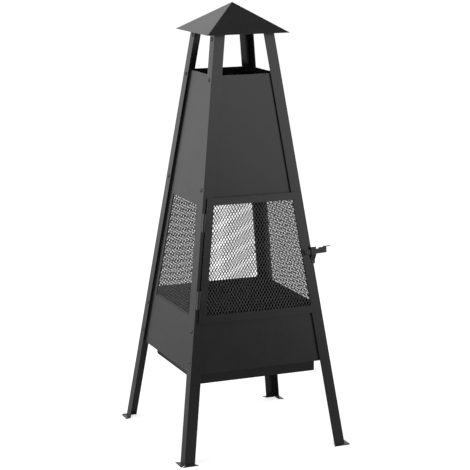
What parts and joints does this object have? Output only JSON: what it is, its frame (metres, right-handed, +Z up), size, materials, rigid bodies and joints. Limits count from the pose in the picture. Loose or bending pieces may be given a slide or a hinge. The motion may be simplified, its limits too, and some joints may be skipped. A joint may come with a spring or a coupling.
{
  "type": "chiminea",
  "caption": "Tall square tapering garden chiminea of black sheet steel on splayed angle legs, with mesh windows, a hinged mesh door with drop latch, pyramid roof and ash drawer.",
  "frame": {"origin": "on the floor, at the centre of the four feet, under the roof's point", "axes": "+Z up, door towards -Y, latch at +X"},
  "size_m": [0.4132, 0.4132, 1],
  "materials": {
    "leg_paint": "satin black heat-resistant paint on folded angle",
    "panel_paint": "satin black heat-resistant paint on flat sheet",
    "roof_paint": "satin black heat-resistant paint",
    "mesh_paint": "black paint on expanded metal",
    "door_paint": "satin black heat-resistant paint",
    "ironwork_paint": "black paint on bent strip and turned hinges",
    "fastener_black": "black coated screws and nuts",
    "grate_soot": "black paint dulled by soot",
    "tray_paint": "matt black paint"
  },
  "bodies": {
    "root": {"leg_front_left": "leg_paint", "leg_front_right": "leg_paint", "leg_back_left": "leg_paint", "leg_back_right": "leg_paint", "upper_panel_front": "panel_paint", "upper_panel_left": "panel_paint", "upper_panel_right": "panel_paint", "upper_panel_back": "panel_paint", "lower_panel_front": "panel_paint", "lower_panel_left": "panel_paint", "lower_panel_right": "panel_paint", "lower_panel_back": "panel_paint", "window_stiles_left": "panel_paint", "window_stiles_right": "panel_paint", "window_stiles_back": "panel_paint", "mesh_screen_left": "mesh_paint", "mesh_screen_right": "mesh_paint", "mesh_screen_back": "mesh_paint", "grate_rim": "grate_soot", "grate_mesh": "grate_soot", "roof_cap": "roof_paint", "roof_straps": "panel_paint", "floor_plate": "grate_soot", "drawer_runner_left": "tray_paint", "drawer_runner_right": "tray_paint", "hinge_leg_upper": "ironwork_paint", "hinge_leg_lower": "ironwork_paint", "hinge_pin_upper": "fastener_black", "hinge_pin_lower": "fastener_black", "latch_keeper": "ironwork_paint", "keeper_rivet": "fastener_black", "panel_left_bolts": "fastener_black", "panel_left_nuts": "fastener_black", "panel_right_bolts": "fastener_black", "panel_right_nuts": "fastener_black", "panel_back_bolts": "fastener_black", "panel_back_nuts": "fastener_black", "roof_left_bolts": "fastener_black", "roof_left_nuts": "fastener_black", "roof_right_bolts": "fastener_black", "roof_right_nuts": "fastener_black"},
    "door": {"door_frame": "door_paint", "door_mesh": "mesh_paint", "hinge_door_upper": "ironwork_paint", "hinge_door_lower": "ironwork_paint", "latch_bracket": "door_paint", "latch_stud": "fastener_black", "latch_washer": "fastener_black", "latch_nut": "fastener_black"},
    "latch": {"latch_lever": "ironwork_paint"},
    "drawer": {"ash_tray": "tray_paint"}
  },
  "joints": [
    {"name": "door_hinge", "type": "hinge", "parent": "root", "child": "door", "pos_m": [-0.13306, -0.14132, 0.4461], "axis": [-0.1318, -0.1318, -0.9825], "range_deg": [0, 110]},
    {"name": "latch_lift", "type": "hinge", "parent": "door", "child": "latch", "pos_m": [0.11836, -0.14306, 0.4448], "axis": [0, -0.9911, 0.1329], "range_deg": [0, 75]},
    {"name": "drawer_slide", "type": "slide", "parent": "root", "child": "drawer", "axis": [0, -1, 0], "range_m": [0, 0.22]}
  ]
}
